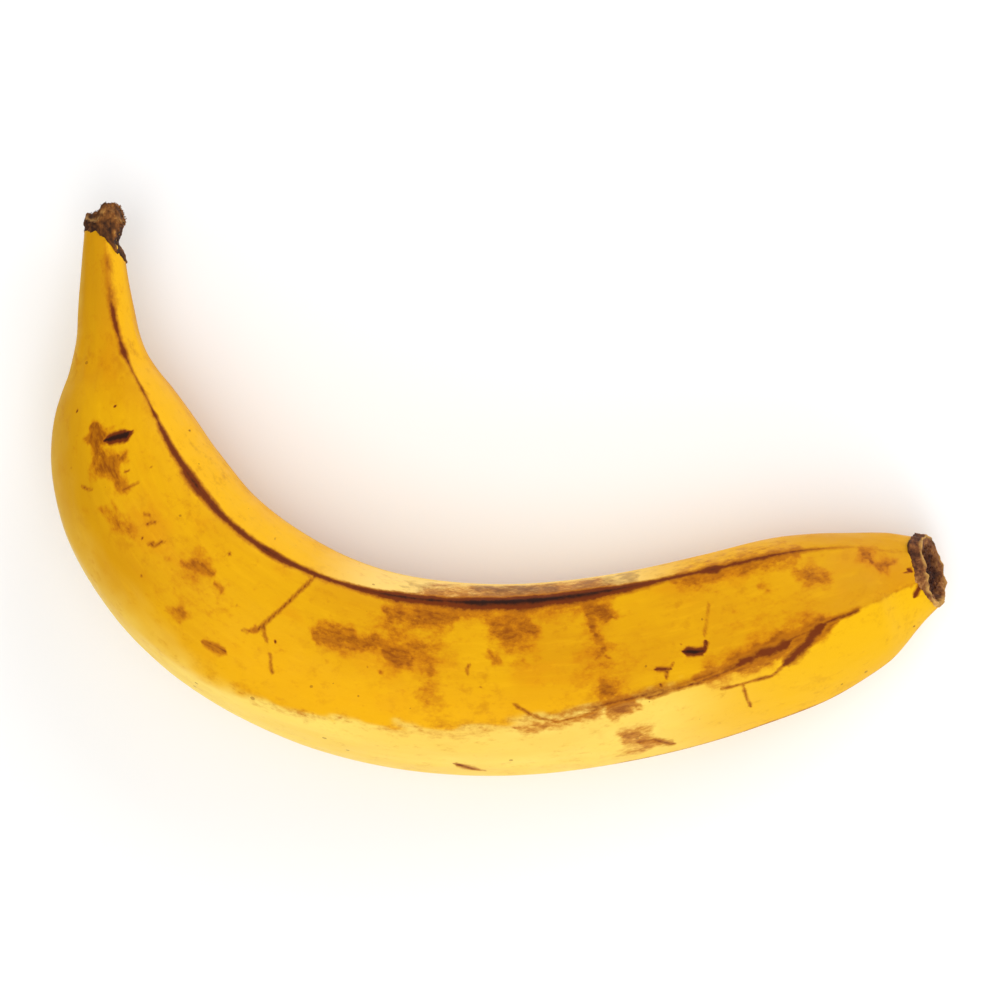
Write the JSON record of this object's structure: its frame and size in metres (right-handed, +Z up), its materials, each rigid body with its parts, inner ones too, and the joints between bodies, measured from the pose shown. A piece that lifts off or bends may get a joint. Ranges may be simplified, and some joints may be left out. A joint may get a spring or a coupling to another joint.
{
  "type": "plantain",
  "caption": "Ripe curved plantain lying on its side, with soft lengthwise ridges, a torn stalk stub and a dry blossom scar.",
  "frame": {"origin": "bottom centre of the bounding box, on the surface that the fruit lies on", "axes": "+X along the fruit's length, from the stalk's side to the blossom end; +Y towards the hollow of the bend, where the stalk points; +Z up from the surface, nearly square to the plane of the bend"},
  "size_m": [0.2156, 0.1394, 0.0441],
  "materials": {
    "peel": "satin"
  },
  "bodies": {
    "root": {"plantain": "peel"}
  },
  "joints": []
}
